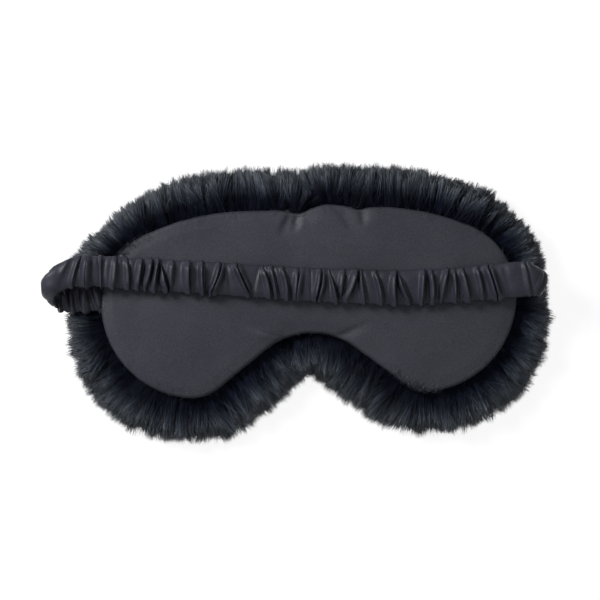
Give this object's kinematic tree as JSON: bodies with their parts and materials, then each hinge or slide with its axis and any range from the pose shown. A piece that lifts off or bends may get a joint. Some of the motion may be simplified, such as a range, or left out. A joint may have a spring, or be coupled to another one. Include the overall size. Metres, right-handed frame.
{
  "type": "sleep eye mask",
  "caption": "Padded sleep mask: long-pile fur front, satin lining with a nose notch, and a ruched satin-covered elastic head strap sewn into the side seams.",
  "frame": {"origin": "on the flat underside of the fur, in the mask's plane of symmetry, 44.4 mm below the brow seam as seen from above", "axes": "+X from temple to temple, +Y towards the brow, +Z out of the satin lining that faces the eyes"},
  "size_m": [0.2506, 0.1288, 0.026],
  "materials": {
    "fur": "long acrylic pile, near black at the root with smoke-grey tips",
    "satin": "soft charcoal satin with a low sheen",
    "backing_knit": "dense black warp knit",
    "blackout_cloth": "matte opaque black cloth",
    "wadding": "white bonded polyester wadding",
    "elastic": "flat braided black elastic with rubber cores",
    "thread": "charcoal polyester sewing thread"
  },
  "bodies": {
    "mask": {"blackout_interlining": "blackout_cloth", "closing_stitches": "thread", "fur_backing": "backing_knit", "fur_pile": "fur", "lining_panel": "satin", "perimeter_stitching": "thread", "strap_bartack_left": "thread", "strap_bartack_right": "thread", "strap_casing_left": "satin", "strap_casing_right": "satin", "strap_elastic_left": "elastic", "strap_elastic_right": "elastic", "strap_seam_thread_left": "thread", "strap_seam_thread_right": "thread", "wadding": "wadding"},
    "strap": {"strap_casing_middle": "satin", "strap_elastic_middle": "elastic", "strap_seam_thread_middle": "thread"}
  },
  "joints": [
    {"name": "strap_lift", "type": "slide", "parent": "mask", "child": "strap", "axis": [0, 0, 1], "range_m": [0, 0.1], "stiffness_N_per_m": 40, "deforming": ["strap_casing_left", "strap_casing_right", "strap_elastic_left", "strap_elastic_right", "strap_seam_thread_left", "strap_seam_thread_right"]}
  ]
}
